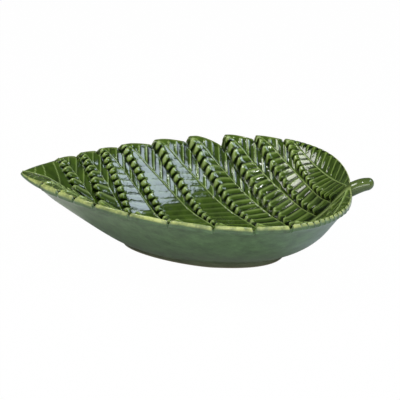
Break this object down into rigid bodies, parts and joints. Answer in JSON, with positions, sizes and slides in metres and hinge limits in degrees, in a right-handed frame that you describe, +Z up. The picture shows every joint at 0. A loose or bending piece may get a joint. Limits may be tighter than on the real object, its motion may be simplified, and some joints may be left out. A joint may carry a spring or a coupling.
{
  "type": "leaf dish",
  "caption": "Deep leaf-shaped serving dish with overlapping lobed leaflets inside, a scalloped rim, a stalk handle and an oval foot ring.",
  "frame": {"origin": "centre of the dish's bounding box, on the surface that it stands on", "axes": "+X from the leaf's tip to its stalk, +Y across the leaf, +Z up out of the bowl"},
  "size_m": [0.2856, 0.1894, 0.0683],
  "materials": {
    "leaf_glaze": "glossy translucent green majolica glaze, dark where it pools and yellow-green on the edges",
    "stalk_glaze": "glossy olive-green glaze",
    "foot_clay": "glazed outside, bare clay on the resting face"
  },
  "bodies": {
    "root": {"dish_body": "leaf_glaze", "stem_handle": "stalk_glaze", "foot_ring": "foot_clay"}
  },
  "joints": []
}
